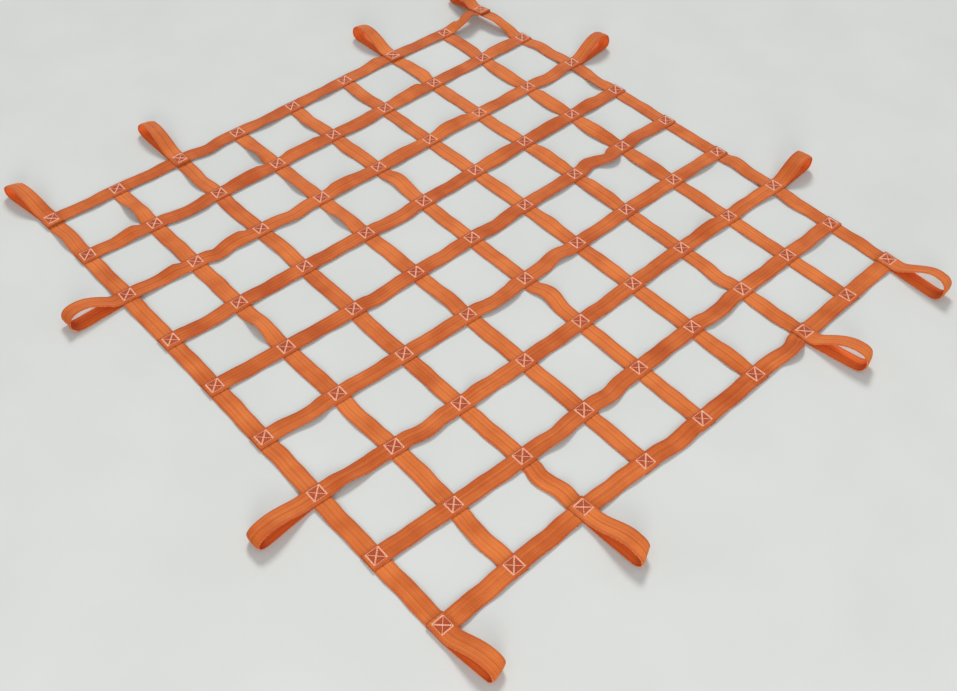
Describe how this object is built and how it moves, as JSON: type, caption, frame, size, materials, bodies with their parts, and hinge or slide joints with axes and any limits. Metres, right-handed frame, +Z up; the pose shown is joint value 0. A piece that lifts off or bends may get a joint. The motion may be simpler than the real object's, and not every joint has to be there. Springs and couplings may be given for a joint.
{
  "type": "cargo lifting net",
  "caption": "Square cargo net of crossed flat webbing straps sewn at each crossing, with folded lifting eyes along its edges, laid out flat.",
  "frame": {"origin": "on the floor, under the crossing of the middle lengthwise and the middle crosswise strap", "axes": "+X along the lengthwise straps, +Y along the crosswise straps, +Z up from the floor"},
  "size_m": [1.9507, 1.9233, 0.0524],
  "materials": {
    "webbing": "matt woven webbing",
    "thread": "pale sewing thread"
  },
  "bodies": {
    "root": {"length_strap_1": "webbing", "length_strap_2": "webbing", "length_strap_3": "webbing", "length_strap_4": "webbing", "length_strap_5": "webbing", "length_strap_6": "webbing", "length_strap_7": "webbing", "length_strap_8": "webbing", "length_strap_9": "webbing", "cross_strap_1": "webbing", "cross_strap_2": "webbing", "cross_strap_3": "webbing", "cross_strap_4": "webbing", "cross_strap_5": "webbing", "cross_strap_6": "webbing", "cross_strap_7": "webbing", "cross_strap_8": "webbing", "cross_strap_9": "webbing", "length_eye_1_start": "webbing", "length_eye_1_finish": "webbing", "length_eye_3_start": "webbing", "length_eye_3_finish": "webbing", "length_eye_7_start": "webbing", "length_eye_7_finish": "webbing", "length_eye_9_start": "webbing", "length_eye_9_finish": "webbing", "cross_eye_3_start": "webbing", "cross_eye_3_finish": "webbing", "cross_eye_7_start": "webbing", "cross_eye_7_finish": "webbing"}
  },
  "joints": []
}
